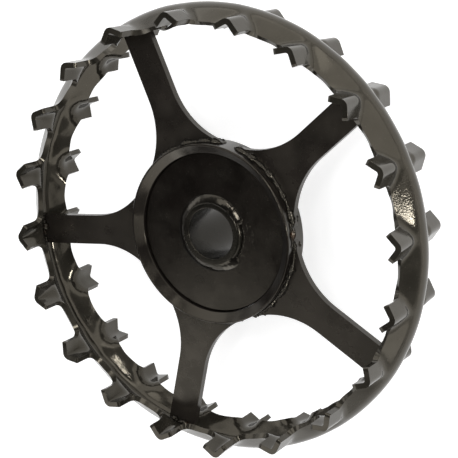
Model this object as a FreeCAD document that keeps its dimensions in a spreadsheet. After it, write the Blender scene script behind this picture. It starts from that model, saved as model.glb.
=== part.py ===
"""Crosskill roller ring: a toothed steel rim on five flared spokes and a welded hub.

The ring lies flat on its side, on the long back end of its hub tube. +Z runs along
the bore, the origin is on the bore axis at the floor under the tube, and the first
spoke points along +Y. Each piece is drawn about the ring's mid-plane and then lifted
by the tube's length behind it. All sizes are in millimetres and degrees.
"""
import FreeCAD, Part
import math
import os

import Sketcher
from FreeCAD import Placement, Rotation, Vector

SIZES = {
    # Rim: one strip of plate, crowned outwards, with roof-shaped teeth on both edges.
    "crown_radius": 250.0,
    "ring_width": 100.0,
    "gauge": 6.0,
    "crown_bend": 16.0,
    "flank_slope": 47.0,
    "flank_reach": 24.5,
    "tooth_count": 20,
    "ridge_drop": 5.5,
    "roof_slope": 40.0,
    "roof_fold": 8.0,
    "roof_reach": 15.5,
    "root_depth": 7.0,
    "root_length": 6.0,
    # Spokes: flat plates that flare into wide feet on the hub.
    "spoke_count": 5,
    "spoke_gauge": 8.0,
    "spoke_width": 34.0,
    "spoke_gap": 0.9,
    "flare_radius": 90.0,
    "foot_angle": 32.0,
    "foot_tip": 1.5,
    # Hub: a ring, a disc inside it and a tube through the disc.
    "hub_radius": 100.5,
    "hub_width": 34.5,
    "lip_width": 4.5,
    "hub_wall": 11.5,
    "disc_gauge": 12.0,
    "tube_radius": 38.0,
    "tube_front": 11.0,
    "tube_back": 72.0,
    "bore_radius": 28.2,
    "fit_gap": 0.2,
    # Welds: legs and turns of the fillet beads.
    "tube_weld_out": 5.5,
    "tube_weld_up": 4.5,
    "tube_weld_turn": 295.0,
    "tube_weld_start": -3.0,
    "foot_weld_leg": 4.0,
    "foot_weld_angle": 31.0,
    "rim_weld_down": 7.0,
    "rim_weld_out": 5.5,
}

# Straight facets in the rounded bend of the crown and in the fold of each roof.
CROWN_FACETS = 5
FOLD_FACETS = 3

doc = FreeCAD.newDocument("crosskill_ring")
sheet = doc.addObject("Spreadsheet::Sheet", "size")
for row, (alias, number) in enumerate(SIZES.items(), start=1):
    sheet.set("A%d" % row, alias)
    sheet.set("B%d" % row, str(number))
    sheet.setAlias("B%d" % row, alias)
doc.recompute()

# Sizes that several pieces share, worked out from the sheet.
LIFT = "size.tube_back"
RIDGE = "(size.crown_radius - size.ridge_drop)"
ROOF_APEX = "(%s - size.roof_fold + size.roof_fold / cos(size.roof_slope))" % RIDGE
ROOF_LEG = "(size.roof_reach / cos(size.roof_slope))"
ROOT_REACH = "(size.roof_reach + size.root_depth * cos(size.roof_slope))"
CROWN_INSIDE = "(size.crown_radius - size.gauge)"
CROWN_PEAK = ("(size.crown_radius - size.crown_bend"
              " + (size.crown_bend - size.gauge) / cos(size.flank_slope))")
ROOF_PEAK = "(%s - size.gauge / cos(size.roof_slope))" % ROOF_APEX
SPOKE_END = "(size.crown_radius - size.gauge - size.spoke_gap)"
FOOT_RADIUS = "(size.hub_radius + size.fit_gap)"
DISC_RADIUS = "(size.hub_radius - size.hub_wall)"
HUB_SEAT = "(%s + size.fit_gap)" % DISC_RADIUS


def value(text):
    """The number that an expression over the sheet gives now."""
    number = sheet.evalExpression(text.replace("size.", ""))
    return float(getattr(number, "Value", number))


def new_body(label):
    """A body with its label, lifted so that the hub tube stands on the floor."""
    body = doc.addObject("PartDesign::Body", label)
    body.Label = label
    body.AllowCompound = True
    body.setExpression("Placement.Base.z", LIFT)
    return body


def new_sketch(body, name, role):
    """A sketch on one of the body's own origin planes."""
    sketch = body.newObject("Sketcher::SketchObject", name)
    plane = next(item for item in body.Origin.OriginFeatures if item.Role == role)
    sketch.AttachmentSupport = [(plane, "")]
    sketch.MapMode = "FlatFace"
    return sketch


def drive(sketch, name, text, kind, *where):
    """A dimension of the sketch that follows the sheet."""
    number = value(text)
    datum = math.radians(number) if kind == "Angle" else number
    index = sketch.addConstraint(Sketcher.Constraint(kind, *where, datum))
    sketch.renameConstraint(index, name)
    sketch.setExpression("Constraints." + name, text)


def line(sketch, start, end):
    return sketch.addGeometry(Part.LineSegment(Vector(*start), Vector(*end)))


def arc(sketch, centre, radius, start, end):
    """An arc that runs anticlockwise between two angles in degrees."""
    circle = Part.Circle(Vector(*centre), Vector(0, 0, 1), radius)
    return sketch.addGeometry(Part.ArcOfCircle(circle, math.radians(start), math.radians(end)))


def join(sketch, first, first_end, second, second_end, kind="Coincident"):
    sketch.addConstraint(Sketcher.Constraint(kind, first, first_end, second, second_end))


def polygon(sketch, corners):
    """A closed outline of straight lines through corners given as expressions."""
    points = [(value(across), value(along)) for across, along in corners]
    lines = [line(sketch, start + (0,), end + (0,))
             for start, end in zip(points, points[1:] + points[:1])]
    for index, (across, along) in enumerate(corners):
        join(sketch, lines[index - 1], 2, lines[index], 1)
        if across == "0":
            sketch.addConstraint(Sketcher.Constraint("PointOnObject", lines[index], 1, -2))
        else:
            drive(sketch, "across_%d" % index, across, "DistanceX", lines[index], 1)
        drive(sketch, "along_%d" % index, along, "DistanceY", lines[index], 1)


def bent_section(sketch, top, bend, slope, reach, gauge, facets):
    """Section of a bent strip: a bend on top and two sloping sides.

    The bend is drawn as an odd number of straight facets that its circle touches. The
    sides end at the given reach, where they are cut square, one gauge deep, as the
    edge of a sheet is. A flat base closes the section.
    """
    steps = (facets + 1) // 2
    out = "%s / cos(%s / %d)" % (bend, slope, 2 * steps)
    right = []
    for step in range(steps):
        angle = "%s * %g / %d" % (slope, step + 0.5, steps)
        right.append(("(%s * sin(%s))" % (out, angle),
                      "(%s - %s + %s * cos(%s))" % (top, bend, out, angle)))
    low = "(%s - %s + %s / cos(%s) - %s * tan(%s))" % (top, bend, bend, slope, reach, slope)
    right.append((reach, low))
    right.append(("(%s - %s * sin(%s))" % (reach, gauge, slope),
                  "(%s - %s * cos(%s))" % (low, gauge, slope)))
    polygon(sketch, right + [("-" + across, along) for across, along in reversed(right)])


def pad(body, name, sketch, length, symmetric=False, reversed_=False):
    feature = body.newObject("PartDesign::Pad", name)
    feature.Profile = sketch
    feature.SideType = "Symmetric" if symmetric else "One side"
    feature.Reversed = reversed_
    feature.setExpression("Length", length)
    return feature


def turn(body, name, sketch, axis, angle="360", kind="Revolution", symmetric=False):
    feature = body.newObject("PartDesign::" + kind, name)
    feature.Profile = sketch
    feature.ReferenceAxis = (sketch, [axis])
    feature.Midplane = symmetric
    feature.setExpression("Angle", angle)
    return feature


def around(body, name, features, count):
    """Copies of features spaced evenly round the bore."""
    pattern = body.newObject("PartDesign::PolarPattern", name)
    pattern.Originals = features
    axis = next(item for item in body.Origin.OriginFeatures if item.Role == "Z_Axis")
    pattern.Axis = (axis, [""])
    pattern.Angle = 360
    pattern.setExpression("Occurrences", count)
    body.Tip = pattern
    return pattern


def make_rim():
    """The crowned strip with a straight roof-shaped tooth pressed into it at each pitch.

    The strip's filled section is turned round the bore and each roof is padded
    through it. Then the inside of the crown and the inside of each roof are cut away,
    which leaves one sheet of even thickness.
    """
    body = new_body("rim")
    section = new_sketch(body, "crown_section", "XZ_Plane")
    section.AttachmentOffset = Placement(Vector(), Rotation(Vector(0, 0, 1), 90))
    bent_section(section, "size.crown_radius", "size.crown_bend", "size.flank_slope",
                 "size.flank_reach", "size.gauge", CROWN_FACETS)
    turn(body, "crown", section, "H_Axis")

    roof_sketch = new_sketch(body, "roof_section", "XY_Plane")
    bent_section(roof_sketch, RIDGE, "size.roof_fold", "size.roof_slope",
                 "size.roof_reach", "size.gauge", FOLD_FACETS)
    tooth = [pad(body, "roof", roof_sketch, "size.ring_width", symmetric=True)]
    for name, side in (("root_right", 1), ("root_left", -1)):
        tooth.append(make_root(body, name, side))
    around(body, "teeth", tooth, "size.tooth_count")

    inside = new_sketch(body, "crown_inside", "XZ_Plane")
    shoulder = "((%s - %s) / tan(size.flank_slope))" % (CROWN_PEAK, CROWN_INSIDE)
    floor = "(%s - size.flank_reach * tan(size.flank_slope))" % CROWN_PEAK
    polygon(inside, [(CROWN_INSIDE, shoulder), (floor, "size.flank_reach"),
                     (floor, "-size.flank_reach"), (CROWN_INSIDE, "-" + shoulder)])
    turn(body, "crown_hollow", inside, "V_Axis", kind="Groove")

    under = new_sketch(body, "roof_inside", "XY_Plane")
    eaves = "(%s - %s * tan(size.roof_slope))" % (ROOF_PEAK, ROOT_REACH)
    polygon(under, [("0", ROOF_PEAK), (ROOT_REACH, eaves), ("-" + ROOT_REACH, eaves)])
    hollow = body.newObject("PartDesign::Pocket", "roof_hollow")
    hollow.Profile = under
    hollow.SideType = "Symmetric"
    hollow.setExpression("Length", "size.ring_width + 2 * size.gauge")
    around(body, "roof_hollows", [hollow], "size.tooth_count")
    return body


def make_root(body, name, side):
    """The flare at the foot of one side of a tooth, drawn in the plane of that side.

    The sketch's horizontal axis climbs the roof to its apex and its vertical axis
    runs along the bore. A slanting edge joins the side of the tooth to the edge of
    the crowned strip at both ends.
    """
    sketch = new_sketch(body, name + "_outline", "YZ_Plane")
    sketch.AttachmentOffset = Placement(Vector(), Rotation(Vector(0, side, 0), 1))
    sketch.setExpression("AttachmentOffset.Base.x", ROOF_APEX)
    sketch.setExpression("AttachmentOffset.Rotation.Angle", "90 - size.roof_slope")
    seat = "-" + ROOF_LEG
    foot = "-(%s + size.root_depth)" % ROOF_LEG
    top = "(size.flank_reach + size.root_length)"
    polygon(sketch, [(seat, top), (foot, "size.flank_reach"),
                     (foot, "-size.flank_reach"), (seat, "-" + top)])
    return pad(body, name, sketch, "size.gauge", reversed_=side > 0)


def make_spoke(number):
    """One flat spoke: straight sides that flare into a wide foot round the hub."""
    body = new_body("spoke_%d" % number)
    body.Placement = Placement(Vector(0, 0, value(LIFT)), Rotation(Vector(0, 0, 1), 1))
    body.setExpression("Placement.Base.z", LIFT)
    body.setExpression("Placement.Rotation.Angle",
                       "360 * %d / size.spoke_count" % (number - 1))
    sketch = new_sketch(body, "spoke_outline_%d" % number, "XY_Plane")
    half, flare = value("size.spoke_width / 2"), value("size.flare_radius")
    foot_radius, end_radius = value(FOOT_RADIUS), value(SPOKE_END)
    spread = value("size.foot_angle")
    chord = foot_radius * math.sin(math.radians(spread))
    heel = foot_radius * math.cos(math.radians(spread))
    tip = heel + value("size.foot_tip")
    swing = math.degrees(math.acos((half + flare - chord) / flare))
    waist = tip + flare * math.sin(math.radians(swing))
    top = math.sqrt(end_radius ** 2 - half ** 2)
    corner = math.degrees(math.asin(half / end_radius))

    inner = arc(sketch, (0, 0, 0), foot_radius, 90 - spread, 90 + spread)
    outer = arc(sketch, (0, 0, 0), end_radius, 90 - corner, 90 + corner)
    tips, flares, sides = [], [], []
    for side in (1, -1):
        tips.append(line(sketch, (side * chord, heel, 0), (side * chord, tip, 0)))
        angles = (180, 180 + swing) if side > 0 else (-swing, 0)
        flares.append(arc(sketch, (side * (half + flare), waist, 0), flare, *angles))
        sides.append(line(sketch, (side * half, waist, 0), (side * half, top, 0)))
    for index, (tip_end, side_end) in enumerate(((2, 1), (1, 2))):
        join(sketch, tips[index], 1, inner, index + 1)
        join(sketch, tips[index], 2, flares[index], tip_end)
        join(sketch, sides[index], 1, flares[index], side_end, "Tangent")
        join(sketch, sides[index], 2, outer, index + 1)
        sketch.addConstraint(Sketcher.Constraint("Vertical", tips[index]))
        sketch.addConstraint(Sketcher.Constraint("Vertical", sides[index]))
    join(sketch, inner, 3, -1, 1)
    join(sketch, outer, 3, -1, 1)
    drive(sketch, "foot_radius", FOOT_RADIUS, "Radius", inner)
    drive(sketch, "end_radius", SPOKE_END, "Radius", outer)
    drive(sketch, "flare", "size.flare_radius", "Radius", flares[0])
    sketch.addConstraint(Sketcher.Constraint("Equal", flares[0], flares[1]))
    drive(sketch, "tip", "size.foot_tip", "Distance", tips[0])
    sketch.addConstraint(Sketcher.Constraint("Equal", tips[0], tips[1]))
    for index, sign in enumerate(("", "-")):
        drive(sketch, "half_%d" % index, sign + "size.spoke_width / 2",
              "DistanceX", sides[index], 1)
        drive(sketch, "chord_%d" % index, sign + FOOT_RADIUS + " * sin(size.foot_angle)",
              "DistanceX", tips[index], 1)
    pad(body, "spoke_plate_%d" % number, sketch, "size.spoke_gauge", symmetric=True)
    return body


def make_hub_ring():
    """The hub's outer ring: a thin lip on each side, tapering in to the disc's seat."""
    body = new_body("hub_ring")
    sketch = new_sketch(body, "hub_ring_section", "XZ_Plane")
    lip = "(size.hub_radius - size.lip_width)"
    side = "size.hub_width / 2"
    seat = "size.disc_gauge / 2"
    polygon(sketch, [("size.hub_radius", "-" + side), ("size.hub_radius", side),
                     (lip, side), (HUB_SEAT, seat), (HUB_SEAT, "-" + seat),
                     (lip, "-" + side)])
    turn(body, "hub_ring_turned", sketch, "V_Axis")
    return body


def make_hub_disc():
    """The thick disc inside the hub ring, with a hole for the tube."""
    body = new_body("hub_disc")
    sketch = new_sketch(body, "hub_disc_outline", "XY_Plane")
    for name, text in (("rim", DISC_RADIUS), ("hole", "size.tube_radius + size.fit_gap")):
        circle = Part.Circle(Vector(0, 0, 0), Vector(0, 0, 1), value(text))
        index = sketch.addGeometry(circle)
        join(sketch, index, 3, -1, 1)
        drive(sketch, name, text, "Radius", index)
    pad(body, "hub_disc_plate", sketch, "size.disc_gauge", symmetric=True)
    return body


def make_hub_tube():
    """The tube that holds the bore: a little proud in front, and past the teeth behind."""
    body = new_body("hub_tube")
    sketch = new_sketch(body, "hub_tube_section", "XZ_Plane")
    back = "-size.tube_back"
    front = "size.tube_front"
    polygon(sketch, [("size.tube_radius", back), ("size.tube_radius", front),
                     ("size.bore_radius", front), ("size.bore_radius", back)])
    turn(body, "hub_tube_turned", sketch, "V_Axis")
    return body


def spoke_beads(label, corners, angle):
    """Beads on both faces of every spoke: corners are given for the front face."""
    body = new_body(label)
    beads = []
    for side, sign in (("front", ""), ("back", "-")):
        sketch = new_sketch(body, "%s_%s_section" % (label, side), "YZ_Plane")
        polygon(sketch, [(across, sign + along) for across, along in corners])
        beads.append(turn(body, "%s_%s_bead" % (label, side), sketch, "V_Axis",
                          angle, symmetric=True))
    around(body, label + "_beads", beads, "size.spoke_count")
    return body


def make_weld_rim():
    """The beads that hold each spoke's end in the crown of the rim."""
    face = "(size.spoke_gauge / 2)"
    top = "(size.spoke_gauge / 2 + size.rim_weld_out)"
    wall = "(%s - %s * tan(size.flank_slope) - size.fit_gap)" % (CROWN_PEAK, top)
    corners = [(SPOKE_END, face), (SPOKE_END + " - size.rim_weld_down", face), (wall, top)]
    return spoke_beads("weld_rim", corners, "2 * asin(size.spoke_width / 2 / %s)" % SPOKE_END)


def make_weld_feet():
    """The beads between the spokes' feet and the hub ring."""
    face = "(size.spoke_gauge / 2)"
    top = "(size.spoke_gauge / 2 + size.foot_weld_leg)"
    corners = [(FOOT_RADIUS, face), (FOOT_RADIUS + " + size.foot_weld_leg", face),
               (FOOT_RADIUS, top)]
    return spoke_beads("weld_feet", corners, "2 * size.foot_weld_angle")


def make_weld_tube():
    """The bead round the front of the tube, which stops short of a full turn."""
    body = new_body("weld_tube")
    body.Placement = Placement(Vector(0, 0, value(LIFT)), Rotation(Vector(0, 0, 1), 1))
    body.setExpression("Placement.Base.z", LIFT)
    body.setExpression("Placement.Rotation.Angle", "size.tube_weld_start")
    sketch = new_sketch(body, "weld_tube_section", "XZ_Plane")
    root = "(size.tube_radius + size.fit_gap)"
    face = "(size.disc_gauge / 2)"
    polygon(sketch, [(root, face), (root + " + size.tube_weld_out", face),
                     (root, face + " + size.tube_weld_up")])
    turn(body, "weld_tube_bead", sketch, "V_Axis", angle="size.tube_weld_turn")
    return body


def check(items):
    """Stops the build where a feature failed or a piece is not a valid solid."""
    for item in doc.Objects:
        if "Invalid" in item.State or "Error" in item.State:
            raise RuntimeError("failed: %s %s" % (item.Label, item.getStatusString()))
    for item in items:
        shape = item.Shape
        if shape.isNull() or not shape.isValid() or not shape.Solids:
            raise RuntimeError("no valid solid: " + item.Label)


pieces = [make_rim()]
pieces += [make_spoke(number) for number in range(1, int(value("size.spoke_count")) + 1)]
pieces += [make_hub_ring(), make_hub_disc(), make_hub_tube()]
pieces += [make_weld_rim(), make_weld_feet(), make_weld_tube()]
doc.recompute()
check(pieces)

os.makedirs("parts", exist_ok=True)
for piece in pieces:
    piece.Shape.exportStep("parts/%s.step" % piece.Label)
    print(piece.Label, len(piece.Shape.Solids), round(piece.Shape.Volume / 1000, 2))
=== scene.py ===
"""Looks of a crosskill roller ring: a welded steel ring under gloss black paint.

Lengths in the named values are millimetres, in the frame of the part: +Z along the
bore, the floor at zero. MM turns them into the scene's metres.
"""

import math
import random

import bmesh
import bpy
import numpy as np
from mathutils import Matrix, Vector, noise


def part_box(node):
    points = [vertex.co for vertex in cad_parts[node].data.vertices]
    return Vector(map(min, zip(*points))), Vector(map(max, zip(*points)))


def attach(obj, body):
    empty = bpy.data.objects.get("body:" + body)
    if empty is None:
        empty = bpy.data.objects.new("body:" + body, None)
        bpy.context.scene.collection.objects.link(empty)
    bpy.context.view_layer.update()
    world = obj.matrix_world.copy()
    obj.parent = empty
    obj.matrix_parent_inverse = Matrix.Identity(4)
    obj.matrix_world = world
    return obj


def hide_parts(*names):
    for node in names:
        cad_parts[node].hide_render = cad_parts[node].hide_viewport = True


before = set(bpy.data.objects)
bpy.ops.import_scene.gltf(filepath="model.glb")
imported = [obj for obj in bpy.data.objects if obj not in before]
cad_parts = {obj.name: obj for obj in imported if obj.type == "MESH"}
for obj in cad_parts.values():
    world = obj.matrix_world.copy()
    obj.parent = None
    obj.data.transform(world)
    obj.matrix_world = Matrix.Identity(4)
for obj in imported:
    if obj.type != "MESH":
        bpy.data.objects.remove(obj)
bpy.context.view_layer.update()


MM = 0.001
SEED = 11

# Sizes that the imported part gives.
RIM_LOW, RIM_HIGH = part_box("rim")
HALF_WIDTH = (RIM_HIGH.z - RIM_LOW.z) / 2 / MM
MIDDLE = (RIM_HIGH.z + RIM_LOW.z) / 2 / MM
SPOKE_LOW, SPOKE_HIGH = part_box("spoke_1")
SPOKE_END = SPOKE_HIGH.y / MM
SPOKE_HALF = (SPOKE_HIGH.z - SPOKE_LOW.z) / 2 / MM
RING_LOW, RING_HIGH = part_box("hub_ring")
HUB_HALF = (RING_HIGH.z - RING_LOW.z) / 2 / MM
DISC_LOW, DISC_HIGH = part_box("hub_disc")
DISC_HALF = (DISC_HIGH.z - DISC_LOW.z) / 2 / MM
TUBE_LOW, TUBE_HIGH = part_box("hub_tube")
TUBE_FRONT = TUBE_HIGH.z / MM - MIDDLE
TUBE_BACK = TUBE_LOW.z / MM - MIDDLE

# Sizes that the part's source also holds.
CROWN = 250.0
GAUGE = 6.0
BEND = 16.0
SLOPE = math.radians(47)
EDGE = 24.5
TEETH = 20
RIDGE = 244.5
ROOF = math.radians(40)
FOLD = 8.0
LEG = 15.5
SPOKES = 5
SPOKE_WIDTH = 34.0
FLARE = 90.0
FOOT_RADIUS = 100.7
FOOT_ANGLE = math.radians(32)
FOOT_TIP = 1.5
HUB_RADIUS = 100.5
LIP = 4.5
DISC_RADIUS = 89.0
TUBE_RADIUS = 38.0
BORE_RADIUS = 28.2
FIT = 0.2


def make_mesh(name, points, faces):
    """A smooth mesh object from points in millimetres."""
    mesh = bpy.data.meshes.new(name)
    mesh.from_pydata([tuple(float(v) * MM for v in point) for point in points], [], faces)
    mesh.validate()
    build = bmesh.new()
    build.from_mesh(mesh)
    bmesh.ops.recalc_face_normals(build, faces=build.faces)
    build.to_mesh(mesh)
    build.free()
    mesh.shade_smooth()
    piece = bpy.data.objects.new(name, mesh)
    bpy.context.scene.collection.objects.link(piece)
    return piece


def place(piece, material, slot, *nodes):
    """Gives a piece its paint and lets it stand for its CAD nodes."""
    piece.data.materials.append(material)
    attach(piece, "root")
    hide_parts(*nodes)
    return piece


def flatten_shading(piece):
    """Keeps wide flat faces flat beside narrow rounded edges."""
    modifier = piece.modifiers.new("even_normals", "WEIGHTED_NORMAL")
    modifier.keep_sharp = True
    modifier.weight = 80


# The rim: one formed sheet, drawn as a smooth height field over its outline.

def crown_height(z):
    """Outer radius of the crowned strip at a distance from the mid-plane."""
    across = np.abs(z)
    start = BEND * math.sin(SLOPE)
    bend = CROWN - BEND + np.sqrt(np.maximum(BEND ** 2 - np.minimum(across, start) ** 2, 0))
    return bend - np.maximum(across - start, 0) * math.tan(SLOPE)


def roof_height(u, ridge, fold):
    """Height of a tooth's roof at a distance from its ridge line."""
    across = np.abs(u)
    start = fold * math.sin(ROOF)
    bend = ridge - fold + np.sqrt(np.maximum(fold ** 2 - np.minimum(across, start) ** 2, 0))
    return bend - np.maximum(across - start, 0) * math.tan(ROOF)


# Fillets between roof and crown: their reach outside and inside the sheet, and how
# much of it is lost toward the edges. The inner face folds more widely at the root.
SOFTNESS = 17.0
DECAY = 0.35
INNER_SOFTNESS = 23.0
INNER_DECAY = 0.65
DIP = 11.0
ROOT_FOLD = 20.0
TIP_FOLD = 9.0


def sheet_height(u, z, ridge, fold=FOLD, softness=SOFTNESS, decay=DECAY):
    """The higher of crown and roof, with a soft fillet where they meet.

    Each roof's ridge line dips into the crown, so that it fades out on the flank. The
    fillet gets smaller by the decay from the mid-plane to the strip's edges.
    """
    crown = np.sqrt(crown_height(z) ** 2 - u ** 2)
    fade = np.clip(1 - np.abs(z) / EDGE, 0, 1)
    roof = roof_height(u, ridge, fold) - DIP * fade ** 2 * (3 - 2 * fade)
    soft = softness * (1 - decay * (1 - fade) ** 2)
    over = np.maximum(soft - np.abs(crown - roof), 0) / soft
    return np.maximum(crown, roof) + over ** 3 * soft / 6


# The rounded root beside a tooth, and how far the strip's edge rises toward it.
ROOT = 6.0
RISE = 0.4
ROOT_TOP = EDGE + RISE + ROOT

# Rows of the mesh on each side of the mid-plane: out to STRAIGHT, to the strip's edge
# or the root's top, and up the tooth's free end.
STRAIGHT = 20.0
MIDDLE_ROWS = 9
SIDE_ROWS = 7
END_ROWS = 6
LAST_ROW = MIDDLE_ROWS + SIDE_ROWS + END_ROWS


def half_columns():
    """Places of the mesh columns from a ridge to the middle of a gap.

    Each is the distance from the ridge, or beyond the tooth's side a share of the
    gap, with the distance from the mid-plane at which the sheet ends there.
    """
    start = FOLD * math.sin(ROOF)
    tooth = [start * step / 4 for step in range(5)]
    tooth += [start + (LEG - start) * step / 4 for step in range(1, 5)]
    columns = [("tooth", u, ROOT_TOP) for u in tooth]
    for step in range(1, 7):
        angle = math.pi / 2 * step / 6
        columns.append(("root", LEG + ROOT * (1 - math.cos(angle)),
                        ROOT_TOP - ROOT * math.sin(angle)))
    for step in range(1, 7):
        share = step / 6
        columns.append(("gap", share, EDGE + RISE * math.cos(math.pi / 2 * share) ** 2))
    return columns


def column_rows(kind, end):
    """Rows of one column: each row's number and its distance from the mid-plane."""
    rows = [(row, STRAIGHT * math.sin(math.pi / 2 * row / MIDDLE_ROWS))
            for row in range(-MIDDLE_ROWS, MIDDLE_ROWS + 1)]
    stretches = [(MIDDLE_ROWS, SIDE_ROWS, STRAIGHT, end)]
    if kind == "tooth":
        stretches.append((MIDDLE_ROWS + SIDE_ROWS, END_ROWS, ROOT_TOP, HALF_WIDTH))
    for first, count, low, high in stretches:
        for step in range(1, count + 1):
            z = low + (high - low) * step / count
            rows += [(first + step, z), (-first - step, -z)]
    return rows


def across_at(kind, across, z):
    """Distance from the ridge at a height, where a gap's columns fan out with the crown."""
    if kind != "gap":
        return across
    near = LEG + ROOT
    far = float(crown_height(z)) * math.sin(math.pi / TEETH)
    return math.copysign(near + (far - near) * abs(across), across)


def sheet_points(places, ridge, lean):
    """Outer and inner points of the sheet at places (u, z) in a tooth's own frame.

    The lean tilts the tooth's free ends: front and back outwards, then front and back
    sideways.
    """
    u, z = places[:, 0], places[:, 1]
    outer = np.stack([u, sheet_height(u, z, ridge), z], axis=1)
    toward_tip = np.clip((np.abs(z) - EDGE) / (HALF_WIDTH - EDGE), 0, 1)
    fold = ROOT_FOLD + (TIP_FOLD - ROOT_FOLD) * toward_tip
    soft = (ridge - (fold - FOLD) * (1 / math.cos(ROOF) - 1), fold, INNER_SOFTNESS, INNER_DECAY)
    step = 0.05
    slope_u = (sheet_height(u + step, z, *soft) - sheet_height(u - step, z, *soft)) / (2 * step)
    slope_z = (sheet_height(u, z + step, *soft) - sheet_height(u, z - step, *soft)) / (2 * step)
    normal = np.stack([-slope_u, np.ones_like(u), -slope_z], axis=1)
    normal /= np.linalg.norm(normal, axis=1)[:, None]
    lining = np.minimum(sheet_height(u, z, *soft), outer[:, 1])
    inner = np.stack([u, lining, z], axis=1) - GAUGE * normal
    droop = np.maximum(np.abs(z) - EDGE, 0) / (HALF_WIDTH - EDGE)
    for points in (outer, inner):
        points[:, 1] += lean[0] * droop * (z > 0) + lean[1] * droop * (z < 0)
        points[:, 0] += lean[2] * droop * (z > 0) + lean[3] * droop * (z < 0)
    return outer, inner


def make_rim():
    """The whole toothed strip as one closed mesh."""
    chance = random.Random(SEED)
    half = half_columns()
    columns = [(kind, -place_, end) for kind, place_, end in reversed(half[1:])] + half
    outer_points, inner_points, index = [], [], {}
    for tooth in range(TEETH):
        turn = 2 * math.pi * tooth / TEETH + math.pi / 2
        ridge = RIDGE + chance.uniform(-0.5, 0.5)
        lean = [chance.uniform(-0.9, 0.5) for _ in range(2)]
        lean += [chance.uniform(-0.7, 0.7) for _ in range(2)]
        places, keys = [], []
        for number, (kind, across, end) in enumerate(columns[:-1]):
            for row, z in column_rows(kind, end):
                places.append((across_at(kind, across, z), z))
                keys.append((tooth, number, row))
        outer, inner = sheet_points(np.array(places), ridge, lean)
        radial = np.array([math.cos(turn), math.sin(turn), 0])
        tangent = np.array([math.sin(turn), -math.cos(turn), 0])
        axial = np.array([0, 0, 1])
        axes = np.stack([tangent, radial, axial])
        for key, out_point, in_point in zip(keys, outer @ axes, inner @ axes):
            index[key] = len(outer_points)
            outer_points.append(out_point)
            inner_points.append(in_point)
    last = len(columns) - 1

    def find(tooth, number, row):
        """Index of a point. A gap's middle column belongs to the next tooth along."""
        if number == last:
            return index.get(((tooth - 1) % TEETH, 0, row))
        return index.get((tooth, number, row))

    faces = []
    for tooth in range(TEETH):
        for number in range(last):
            for row in range(-LAST_ROW, LAST_ROW):
                corners = [find(tooth, number, row), find(tooth, number + 1, row),
                           find(tooth, number + 1, row + 1), find(tooth, number, row + 1)]
                if None not in corners:
                    faces.append(tuple(corners))
    count = len(outer_points)
    uses = {}
    for face in faces:
        for start, end in zip(face, face[1:] + face[:1]):
            uses.setdefault(frozenset((start, end)), []).append((start, end))
    walls = [pairs[0] for pairs in uses.values() if len(pairs) == 1]
    inner_faces = [tuple(number + count for number in reversed(face)) for face in faces]
    wall_faces = [(end, start, start + count, end + count) for start, end in walls]
    inner_points = np.array(inner_points) + dents(inner_points)
    points = np.concatenate([outer_points, inner_points])
    points = points + uneven(points)
    points[:, 2] += MIDDLE
    rim = make_mesh("rim_sheet", points, faces + inner_faces + wall_faces)
    cut_edges = {frozenset(pair) for pair in walls}
    cut_edges |= {frozenset((a + count, b + count)) for a, b in walls}
    weight = rim.data.attributes.new("bevel_weight_edge", "FLOAT", "EDGE")
    weight.data.foreach_set("value", [1.0 if frozenset(edge.vertices) in cut_edges else 0.0
                                      for edge in rim.data.edges])
    bevel = rim.modifiers.new("sheared_edges", "BEVEL")
    bevel.limit_method = "WEIGHT"
    bevel.width = 0.9 * MM
    bevel.segments = 2
    bevel.harden_normals = True
    return rim


def uneven(points):
    """Slow dents of a hand-formed sheet, the same for both of its faces."""
    result = np.zeros_like(points)
    for number, point in enumerate(points):
        place_ = Vector(point)
        wave = noise.noise(place_ / 55.0) * 0.5 + noise.noise(place_ / 23.0) * 0.2 - 0.7
        radial = Vector((point[0], point[1], 0)).normalized()
        result[number] = radial * wave
    return result


def dents(points):
    """Short shallow dents that the press left inside the ring."""
    result = np.zeros((len(points), 3))
    for number, point in enumerate(points):
        radial = Vector((point[0], point[1], 0)).normalized()
        result[number] = radial * (noise.noise(Vector(point) / 17.0) * 0.7)
    return result


# The spokes, hub and tube, with their edges rounded as grinding and paint leave them.

def arc_points(centre, radius, start, end, steps):
    """Points on an arc in the ring's plane, both ends included."""
    return [(centre[0] + radius * math.cos(start + (end - start) * step / steps),
             centre[1] + radius * math.sin(start + (end - start) * step / steps))
            for step in range(steps + 1)]


def spoke_outline():
    """The right half of the first spoke's outline, from the hub to the rim."""
    half = SPOKE_WIDTH / 2
    chord = FOOT_RADIUS * math.sin(FOOT_ANGLE)
    heel = FOOT_RADIUS * math.cos(FOOT_ANGLE)
    swing = math.acos((half + FLARE - chord) / FLARE)
    waist = heel + FOOT_TIP + FLARE * math.sin(swing)
    corner = math.asin(half / SPOKE_END)
    outline = arc_points((0, 0), FOOT_RADIUS, math.pi / 2, math.pi / 2 - FOOT_ANGLE, 16)
    outline += arc_points((half + FLARE, waist), FLARE, math.pi + swing, math.pi, 22)
    outline += arc_points((0, 0), SPOKE_END, math.pi / 2 - corner, math.pi / 2, 5)
    return outline


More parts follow.
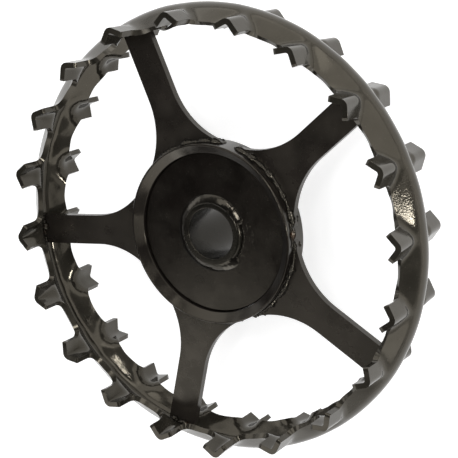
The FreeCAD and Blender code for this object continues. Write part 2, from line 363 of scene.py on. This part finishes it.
def make_spoke(number):
    """One flat plate, turned to its place round the bore."""
    right = spoke_outline()
    left = [(-x, y) for x, y in reversed(right[1:-1])]
    outline = right + left
    turn = 2 * math.pi * (number - 1) / SPOKES
    flat = [(x * math.cos(turn) - y * math.sin(turn), x * math.sin(turn) + y * math.cos(turn))
            for x, y in outline]
    count = len(flat)
    points = [(x, y, MIDDLE + z) for z in (-SPOKE_HALF, SPOKE_HALF) for x, y in flat]
    half = len(right)
    strips = [tuple(level + corner for corner in face)
              for level in (0, count) for face in ladder(half, count)]
    sides = [(step, (step + 1) % count, (step + 1) % count + count, step + count)
             for step in range(count)]
    spoke = make_mesh("spoke_plate_%d" % number, points, strips + sides)
    bevel = spoke.modifiers.new("ground_edges", "BEVEL")
    bevel.limit_method = "ANGLE"
    bevel.angle_limit = math.radians(50)
    bevel.width = 1.1 * MM
    bevel.segments = 3
    bevel.harden_normals = True
    return spoke


def ladder(half, count):
    """Quads across a plate between matching points of its two sides."""
    faces = [(step, step + 1, count - step - 1, count - step) for step in range(1, half - 2)]
    return faces + [(0, 1, count - 1), (half - 1, half, half - 2)]


def rounded_profile(corners, radii, steps=5):
    """A closed profile whose corners are replaced by arcs."""
    result = []
    count = len(corners)
    for index, (corner, radius) in enumerate(zip(corners, radii)):
        here = Vector(corner)
        before = (Vector(corners[index - 1]) - here).normalized()
        after = (Vector(corners[(index + 1) % count]) - here).normalized()
        half = before.angle(after) / 2
        start = here + before * radius / math.tan(half)
        end = here + after * radius / math.tan(half)
        centre = here + (before + after).normalized() * radius / math.sin(half)
        for step in range(steps + 1):
            share = step / steps
            point = start.lerp(end, share) - centre
            result.append(tuple(centre + point.normalized() * radius))
    return result


def turned(name, corners, radii, segments):
    """A piece turned on a lathe: a closed profile of (radius, height) round the bore."""
    profile = rounded_profile(corners, radii)
    count = len(profile)
    points, faces = [], []
    for segment in range(segments):
        angle = 2 * math.pi * segment / segments
        points += [(r * math.cos(angle), r * math.sin(angle), MIDDLE + z) for r, z in profile]
        base, following = segment * count, (segment + 1) % segments * count
        for step in range(count):
            after = (step + 1) % count
            faces.append((base + step, base + after, following + after, following + step))
    piece = make_mesh(name, points, faces)
    flatten_shading(piece)
    return piece


LEDGE = 3.4


def make_hub_ring():
    """The ring slopes from its lip to a ledge that stands over the disc."""
    lip = HUB_RADIUS - LIP / 2
    seat = DISC_RADIUS + FIT
    step = DISC_HALF + LEDGE
    corners = [(HUB_RADIUS, -HUB_HALF), (HUB_RADIUS, HUB_HALF), (lip, HUB_HALF),
               (seat, step), (seat, -step), (lip, -HUB_HALF)]
    return turned("hub_ring_turned", corners, [2.2, 1.6, 0.9, 1.4, 1.4, 0.9], 256)


# Hard drops of paint: angle, radius, height over the mid-plane and size.
DRIPS = [(184, 92.6, 12.0, 1.2), (251, 99.2, 16.9, 1.3)]


def add_drips(points, faces):
    """Adds the hardened drops of paint on the hub ring's slope."""
    slope = Vector((-1, 0, 0.75))
    for angle, radius, height, size in DRIPS:
        turn = math.radians(angle)
        normal = Vector((slope.x * math.cos(turn), slope.x * math.sin(turn), slope.z))
        spatter(points, faces, on_ring(radius, turn, height), normal.normalized(), size)


def make_hub_disc():
    hole = TUBE_RADIUS + FIT
    corners = [(DISC_RADIUS, -DISC_HALF), (DISC_RADIUS, DISC_HALF), (hole, DISC_HALF),
               (hole, -DISC_HALF)]
    return turned("hub_disc_plate", corners, [1.8, 1.8, 0.4, 0.4], 192)


def make_hub_tube():
    corners = [(TUBE_RADIUS, TUBE_BACK), (TUBE_RADIUS, TUBE_FRONT),
               (BORE_RADIUS, TUBE_FRONT), (BORE_RADIUS, TUBE_BACK)]
    return turned("hub_tube_turned", corners, [0.8, 4.2, 1.2, 0.8], 160)


# The welds: rippled beads laid in the corners between the pieces.

RIPPLE = 3.2
TAPER = 5.0
FOOT_LEG = 3.7
TACK_ANGLE = math.radians(-18)
TUBE_WELD_TURN = math.radians(303)
TUBE_WELD_START = math.radians(-3)
UP = Vector((0, 0, 1))


def bead(points, faces, path, first_leg, last_leg, rough, ripples=1.0):
    """Adds one fillet bead along a path of corners, with a leg on each surface.

    Its width sways by the share given as rough, and it tapers at both ends.
    """
    sections = 9
    count = len(path)
    base = len(points)
    length = 0.0
    for index, corner in enumerate(path):
        if index:
            length += (corner - path[index - 1]).length
        ripple = ripples * (0.5 + 0.5 * math.cos(2 * math.pi * length / RIPPLE))
        swell = 1 + rough * (noise.noise(corner / 9.0) + 0.6 * noise.noise(corner / 3.0))
        end = min(length, TAPER, (count - 1 - index) * length / max(index, 1)) / TAPER
        taper = 0.35 + 0.65 * math.sin(end * math.pi / 2)
        size = swell * (0.97 + 0.05 * ripple) * taper
        first, last = first_leg(index) * size, last_leg(index) * size
        points.append(corner - (first + last) * 0.1)
        for step in range(sections + 1):
            share = step / sections
            arch = math.sin(math.pi * share)
            bulge = 0.2 * arch
            points.append(corner + first * (1 - share) * (1 + bulge)
                          + last * share * (1 + bulge)
                          + (first + last) * 0.07 * arch * ripple * rough)
    ring = sections + 2
    for index in range(count - 1):
        for step in range(ring):
            after = (step + 1) % ring
            start, following = base + index * ring, base + (index + 1) * ring
            faces.append((start + step, start + after, following + after, following + step))
    faces.append(tuple(base + step for step in reversed(range(ring))))
    faces.append(tuple(base + (count - 1) * ring + step for step in range(ring)))


def spatter(points, faces, centre, normal, size):
    """Adds one flattened drop of weld metal on a surface."""
    across = normal.orthogonal().normalized()
    along = normal.cross(across)
    base = len(points)
    rings, around = 3, 8
    for ring in range(rings):
        angle = math.pi / 2 * ring / rings
        for step in range(around):
            turn = 2 * math.pi * step / around
            points.append(centre + (across * math.cos(turn) + along * math.sin(turn))
                          * size * math.cos(angle) + normal * size * 0.7 * math.sin(angle))
    points.append(centre + normal * size * 0.7)
    for ring in range(rings - 1):
        for step in range(around):
            after = (step + 1) % around
            low, high = base + ring * around, base + (ring + 1) * around
            faces.append((low + step, low + after, high + after, high + step))
    top = base + (rings - 1) * around
    for step in range(around):
        faces.append((top + step, top + (step + 1) % around, base + rings * around))
    faces.append(tuple(base + step for step in reversed(range(around))))


def on_ring(radius, angle, height):
    """A point at a height over the mid-plane."""
    return Vector((radius * math.cos(angle), radius * math.sin(angle), MIDDLE + height))


def outward(angle):
    return Vector((math.cos(angle), math.sin(angle), 0))


def make_weld_feet():
    """The beads between the spokes' feet and the hub ring, front and back."""
    points, faces = [], []
    for number in range(SPOKES):
        middle = math.pi / 2 + 2 * math.pi * number / SPOKES
        angles = [middle + FOOT_ANGLE * (step / 150 * 1.94 - 0.97) for step in range(151)]
        for side in (1, -1):
            path = [on_ring(FOOT_RADIUS, angle, side * SPOKE_HALF) for angle in angles]
            bead(points, faces, path, lambda i: outward(angles[i]) * FOOT_LEG,
                 lambda i: UP * side * FOOT_LEG, 0.8)
    add_tack(points, faces)
    return make_mesh("weld_feet_beads", points, faces)


def add_tack(points, faces):
    """Adds the loose tack between two feet: thin strands and drops of weld metal."""
    steps = 18
    chance = random.Random(SEED + 1)
    for number in range(9):
        turn = math.radians(chance.uniform(3.0, 8.0)) * (-1) ** number
        start = chance.uniform(3, 11)
        rise = chance.uniform(-4, 5)
        thick = chance.uniform(0.8, 1.6)
        angles = [TACK_ANGLE + turn * (1 - step / (steps / 2)) for step in range(steps + 1)]
        arches = [math.sin(math.pi * step / steps) for step in range(steps + 1)]
        path = [on_ring(HUB_RADIUS + 0.2 + arch * 0.9, angle, start + rise * arch)
                for arch, angle in zip(arches, angles)]
        bead(points, faces, path, lambda i: outward(angles[i]) * thick,
             lambda i: UP * thick, 0.4)
    for _ in range(16):
        angle = TACK_ANGLE + math.radians(chance.uniform(-7, 7))
        spatter(points, faces, on_ring(HUB_RADIUS, angle, chance.uniform(0, 14)),
                outward(angle), chance.uniform(0.7, 1.6))


def make_weld_rim():
    """The beads between the spokes' ends and the crown, front and back."""
    points, faces = [], []
    for number in range(SPOKES):
        middle = math.pi / 2 + 2 * math.pi * number / SPOKES
        span = math.asin(SPOKE_WIDTH / 2 / SPOKE_END)
        angles = [middle + span * (step / 40 * 2 - 1) for step in range(41)]
        for side in (1, -1):
            path = [on_ring(SPOKE_END - 0.4, angle, side * SPOKE_HALF) for angle in angles]
            bead(points, faces, path, lambda i: outward(angles[i]) * -6.5,
                 lambda i: outward(angles[i]) * -4.3 + UP * side * 5.2, 1.0)
    return make_mesh("weld_rim_beads", points, faces)


def make_weld_tube():
    """The bead round the tube's front, with spatter where it stops short."""
    chance = random.Random(SEED + 3)
    points, faces = [], []
    steps = 300
    angles = [TUBE_WELD_START + TUBE_WELD_TURN * step / steps for step in range(steps + 1)]
    path = [on_ring(TUBE_RADIUS + 0.1, angle, DISC_HALF) for angle in angles]
    rise = UP * (TUBE_FRONT - DISC_HALF + 0.3)

    def foot(index):
        """The bead spreads where it was ended."""
        left = (steps - index) / 28
        return outward(angles[index]) * (5.7 + 2.6 * math.exp(-left ** 2))

    bead(points, faces, path, foot,
         lambda i: rise - outward(angles[i]) * 4.2, 0.07, 0.05)
    for _ in range(60):
        angle = TUBE_WELD_START - math.radians(chance.uniform(1, 52))
        radius = TUBE_RADIUS + 1 + 13 * chance.random() ** 2
        spatter(points, faces, on_ring(radius, angle, DISC_HALF), UP, chance.uniform(0.5, 1.4))
    for _ in range(14):
        angle = TUBE_WELD_START - math.radians(chance.uniform(5, 40))
        spatter(points, faces, on_ring(TUBE_RADIUS - chance.uniform(0.4, 2.0), angle,
                                       TUBE_FRONT - chance.uniform(1.2, 4.5)),
                (outward(angle) + UP).normalized(), chance.uniform(0.7, 1.5))
    add_drips(points, faces)
    return make_mesh("weld_tube_bead", points, faces)


# Materials.

def link(tree, source, target):
    tree.links.new(source, target)


def feed(tree, value, socket):
    """Links a value that comes from a node, and sets any other."""
    if hasattr(value, "is_output"):
        link(tree, value, socket)
    else:
        socket.default_value = value


def calculate(tree, operation, *values):
    node = tree.nodes.new("ShaderNodeMath")
    node.operation = operation
    for value, socket in zip(values, node.inputs):
        feed(tree, value, socket)
    return node


def noise_texture(tree, scale, detail, coordinates):
    texture = tree.nodes.new("ShaderNodeTexNoise")
    texture.inputs["Scale"].default_value = scale
    texture.inputs["Detail"].default_value = detail
    link(tree, coordinates, texture.inputs["Vector"])
    return texture.outputs["Fac"]


def ramp(tree, source, stops):
    node = tree.nodes.new("ShaderNodeValToRGB")
    while len(node.color_ramp.elements) < len(stops):
        node.color_ramp.elements.new(0.5)
    for element, (position, colour) in zip(node.color_ramp.elements, stops):
        element.position = position
        element.color = colour + (1,)
    link(tree, source, node.inputs["Fac"])
    return node.outputs["Color"]


def blend_colour(tree, share, first, second):
    node = tree.nodes.new("ShaderNodeMix")
    node.data_type = "RGBA"
    for value, socket in ((share, 0), (first, 6), (second, 7)):
        feed(tree, value, node.inputs[socket])
    return node.outputs[2]


def bump(tree, height, strength, distance, below=None):
    node = tree.nodes.new("ShaderNodeBump")
    node.inputs["Strength"].default_value = strength
    node.inputs["Distance"].default_value = distance
    link(tree, height, node.inputs["Height"])
    if below is not None:
        link(tree, below, node.inputs["Normal"])
    return node.outputs["Normal"]


PAINT_IOR = 1.48
WARM_SHEEN = (1.0, 0.90, 0.72, 1)
DUST = (0.09, 0.08, 0.07, 1)


def gloss_paint(name, light, dark, rough, sway, peel, grit, ior=PAINT_IOR):
    """Sprayed gloss paint: uneven colour and sheen, and dust in the film.

    Sway, peel and grit are the strengths of its slow waves, its orange peel and its
    finest grain.
    """
    material = bpy.data.materials.new(name)
    material.use_nodes = True
    tree = material.node_tree
    shader = tree.nodes["Principled BSDF"]
    coordinates = tree.nodes.new("ShaderNodeTexCoord").outputs["Object"]
    patches = noise_texture(tree, 28, 4, coordinates)
    colour = ramp(tree, patches, [(0.35, dark), (0.68, light)])
    specks = ramp(tree, noise_texture(tree, 900, 2, coordinates),
                  [(0.70, (0, 0, 0)), (0.78, (1, 1, 1))])
    link(tree, blend_colour(tree, specks, colour, DUST), shader.inputs["Base Color"])
    sheen = ramp(tree, noise_texture(tree, 45, 5, coordinates),
                 [(0.3, (rough - 0.07,) * 3), (0.75, (rough + 0.10,) * 3)])
    link(tree, sheen, shader.inputs["Roughness"])
    shader.inputs["IOR"].default_value = ior
    shader.inputs["Specular Tint"].default_value = WARM_SHEEN
    normal = None
    for scale, detail, strength, depth in ((40, 2, sway, 0.0006), (330, 3, peel, 0.00018),
                                           (1100, 3, grit, 0.00012)):
        film = noise_texture(tree, scale, detail, coordinates)
        normal = bump(tree, film, strength, depth, normal)
    link(tree, normal, shader.inputs["Normal"])
    return material


def reopen(material, attribute):
    """A paint's nodes, shader and coordinates, and the value of a mesh attribute."""
    tree = material.node_tree
    coordinates = next(node for node in tree.nodes
                       if node.bl_idname == "ShaderNodeTexCoord").outputs["Object"]
    spot = tree.nodes.new("ShaderNodeAttribute")
    spot.attribute_name = attribute
    return tree, tree.nodes["Principled BSDF"], coordinates, spot.outputs["Fac"]


def add_rust(material):
    """Thin brown rust that bleeds through the paint where the rust attribute says."""
    tree, shader, coordinates, spot = reopen(material, "rust")
    broken = noise_texture(tree, 260, 5, coordinates)
    lowered = calculate(tree, "MULTIPLY", broken, -0.9)
    share = calculate(tree, "MULTIPLY_ADD", spot, 1.5, lowered.outputs[0])
    share.use_clamp = True
    tint = ramp(tree, broken, [(0.3, (0.055, 0.022, 0.010)), (0.7, (0.20, 0.085, 0.035))])
    before = shader.inputs["Base Color"].links[0].from_socket
    link(tree, blend_colour(tree, share.outputs[0], before, tint), shader.inputs["Base Color"])


def add_wrinkles(material):
    """Fine wrinkles of paint laid on too thick, where the wrinkle attribute says."""
    tree, shader, coordinates, spot = reopen(material, "wrinkle")
    height = calculate(tree, "MULTIPLY", spot, noise_texture(tree, 700, 1, coordinates))
    before = shader.inputs["Normal"].links[0].from_socket
    link(tree, bump(tree, height.outputs[0], 1.0, 0.0003, before), shader.inputs["Normal"])


def spread(piece, name, spots):
    """Writes an attribute that fades out round each spot."""
    places = [on_ring(radius, math.radians(angle), height) * MM
              for angle, radius, height, _, _ in spots]
    values = []
    for vertex in piece.data.vertices:
        value = 0.0
        for centre, (_, _, _, reach, strength) in zip(places, spots):
            away = (vertex.co - centre).length / (reach * MM)
            value = max(value, strength * max(0.0, 1 - away))
        values.append(value)
    attribute = piece.data.attributes.new(name, "FLOAT", "POINT")
    attribute.data.foreach_set("value", values)


# Each spot's angle, radius, height over the mid-plane, reach and strength.
RUST_SPOTS = [
    (108, 240, 29, 14, 0.55),
    (162, 238, 6, 20, 0.40),
    (236, 239, 6, 11, 0.55),
    (90, 238, 6, 12, 0.40),
    (-18, 101, 9, 12, 0.6),
    (18, 238, 10, 12, 0.40),
]
WRINKLE_SPOTS = [
    (-8, 240, 19, 36, 1.0),
]

BLACK = (0.0028, 0.0025, 0.0023)
WARM = (0.0080, 0.0070, 0.0060)

# The rim's copy of the black paint is made lighter than the hub's: painted light that lifts its
# shaded faces and tooth pockets.
rim_paint = gloss_paint(
    "rim_paint", (0.025, 0.0225, 0.018), (0.013, 0.0118, 0.0092),
    rough=0.12, sway=0.35, peel=0.22, grit=0.08, ior=1.53)
# The spokes' copy is lighter than the hub's too: painted light on their faces.
spoke_paint = gloss_paint(
    "spoke_paint", (0.019, 0.0160, 0.0136), (0.0095, 0.0080, 0.0069),
    rough=0.29, sway=0.2, peel=0.25, grit=0.22)
hub_paint = gloss_paint(
    "hub_paint", (0.011, 0.009, 0.008), (0.0055, 0.0045, 0.004),
    rough=0.15, sway=0.12, peel=0.20, grit=0.12)
# The disc's copy of the hub paint is darker: painted shade that keeps the disc black.
disc_paint_shaded = gloss_paint(
    "disc_paint_shaded", (0.0075, 0.006, 0.0052), (0.0037, 0.003, 0.0026),
    rough=0.20, sway=0.12, peel=0.20, grit=0.12)
# The tube's copy is darker as well: painted shade for its front face and the dark inside of the
# bore.
tube_paint = gloss_paint(
    "tube_paint", (0.008, 0.0075, 0.006), BLACK,
    rough=0.24, sway=0.3, peel=0.3, grit=0.3, ior=1.40)
weld_paint = gloss_paint("weld_paint", WARM, BLACK, rough=0.11, sway=0.3, peel=0.7, grit=0.15)
bead_paint = gloss_paint("bead_paint", WARM, BLACK, rough=0.13, sway=0.3, peel=0.3, grit=0.15)
for paint in (rim_paint, spoke_paint, weld_paint, bead_paint):
    add_rust(paint)
add_wrinkles(rim_paint)

pieces = [place(make_rim(), rim_paint, "rim_paint", "rim")]
for spoke_number in range(1, SPOKES + 1):
    pieces.append(place(make_spoke(spoke_number), spoke_paint, "spoke_paint",
                        "spoke_%d" % spoke_number))
pieces.append(place(make_weld_rim(), weld_paint, "weld_paint", "weld_rim"))
pieces.append(place(make_weld_feet(), weld_paint, "weld_paint", "weld_feet"))
for rusty in pieces:
    spread(rusty, "rust", RUST_SPOTS)
spread(pieces[0], "wrinkle", WRINKLE_SPOTS)
place(make_hub_ring(), hub_paint, "hub_paint", "hub_ring")
place(make_hub_disc(), disc_paint_shaded, "hub_paint", "hub_disc")
place(make_hub_tube(), tube_paint, "tube_paint", "hub_tube")
weld_tube = place(make_weld_tube(), bead_paint, "weld_paint", "weld_tube")
spread(weld_tube, "rust", RUST_SPOTS)


# Floor, light and camera.

GLOW = 0.77
FLOOR_HALF = 6000
FLOOR_TOP = -0.5


def make_floor():
    """A pale paper floor that the camera, gloss and glass see as white, with its shadow."""
    corners = [(x * FLOOR_HALF, y * FLOOR_HALF, FLOOR_TOP)
               for x, y in ((-1, -1), (1, -1), (1, 1), (-1, 1))]
    floor = make_mesh("floor", corners, [(0, 1, 2, 3)])
    material = bpy.data.materials.new("floor_paper")
    material.use_nodes = True
    tree = material.node_tree
    shader = tree.nodes["Principled BSDF"]
    shader.inputs["Base Color"].default_value = (0.62, 0.62, 0.62, 1)
    shader.inputs["Roughness"].default_value = 0.9
    shader.inputs["Emission Color"].default_value = (1, 1, 1, 1)
    ray = tree.nodes.new("ShaderNodeLightPath").outputs
    mirrored = calculate(tree, "ADD", ray["Is Glossy Ray"], ray["Is Transmission Ray"])
    passed = calculate(tree, "MULTIPLY", mirrored.outputs[0], GLOW)
    glow = calculate(tree, "MULTIPLY_ADD", ray["Is Camera Ray"], GLOW, passed.outputs[0])
    link(tree, glow.outputs[0], shader.inputs["Emission Strength"])
    floor.data.materials.append(material)


def make_lamp(name, azimuth, elevation, distance, size, power):
    """A rectangular soft lamp that faces the ring from a bearing and a height in degrees."""
    data = bpy.data.lights.new(name, "AREA")
    data.shape = "RECTANGLE"
    data.size, data.size_y = size
    data.energy = power
    lamp = bpy.data.objects.new(name, data)
    bpy.context.scene.collection.objects.link(lamp)
    bearing, height = math.radians(azimuth), math.radians(elevation)
    away = Vector((math.cos(bearing) * math.cos(height), math.sin(bearing) * math.cos(height),
                   math.sin(height)))
    lamp.location = away * distance
    lamp.rotation_euler = away.to_track_quat("Z", "Y").to_euler()


# The sky's grey at each height, from the horizon to the zenith.
DOME = [(0.08, 1.0), (0.20, 0.3), (0.66, 0.22), (0.76, 0.03)]


def make_world():
    """A pale studio: white from the floor to above the horizon, dim overhead."""
    world = bpy.data.worlds.new("studio")
    bpy.context.scene.world = world
    world.use_nodes = True
    tree = world.node_tree
    background = tree.nodes["Background"]
    direction = tree.nodes.new("ShaderNodeTexCoord").outputs["Generated"]
    split = tree.nodes.new("ShaderNodeSeparateXYZ")
    link(tree, direction, split.inputs[0])
    dome = ramp(tree, split.outputs["Z"], [(height, (grey,) * 3) for height, grey in DOME])
    link(tree, dome, background.inputs["Color"])


# Each lamp's bearing and height in degrees, distance and size in metres, and watts.
LAMPS = [
    ("lamp_wall_far", 81, 22, 2.0, (2.6, 1.2), 12.5),
    ("lamp_wall_near", 22, 24, 2.0, (2.1, 1.1), 9.5),
    ("lamp_wall_right", -96, 24, 2.0, (2.7, 0.75), 9.5),
    ("lamp_wall_left", 136, 24, 2.0, (0.9, 0.5), 2.2),
    ("lamp_back", -145, 18, 2.0, (1.6, 0.8), 4.0),
    ("lamp_high", 78, 52, 1.6, (0.7, 0.45), 2.2),
    ("lamp_bead", 28, 62, 1.6, (0.28, 0.28), 3.6),
    ("lamp_side", -24, 28, 1.6, (0.16, 0.24), 6.0),
    ("lamp_streak", 55, 54, 1.3, (0.05, 0.05), 0.6),
    ("lamp_low", -150, 46, 2.0, (1.0, 0.8), 4.3),
    ("lamp_top", 0, 87, 1.6, (0.2, 0.2), 2.2),
    ("lamp_cone", -38, 44, 2.0, (0.9, 0.45), 1.1),
]


# The camera's place in millimetres, its turn in degrees and its focal length.
CAMERA_PLACE = (798.0, 33.5, 1120.9 + MIDDLE)
CAMERA_TURN = (-15.478, 31.638, -25.2)
LENS = 98.78


def make_camera():
    data = bpy.data.cameras.new("camera")
    data.lens = LENS
    data.clip_start = 0.01
    camera = bpy.data.objects.new("camera", data)
    bpy.context.scene.collection.objects.link(camera)
    camera.location = Vector(CAMERA_PLACE) * MM
    camera.rotation_euler = [math.radians(angle) for angle in CAMERA_TURN]
    bpy.context.scene.camera = camera


make_floor()
make_world()
for lamp_values in LAMPS:
    make_lamp(*lamp_values)
make_camera()
bpy.context.scene.view_settings.view_transform = "Standard"
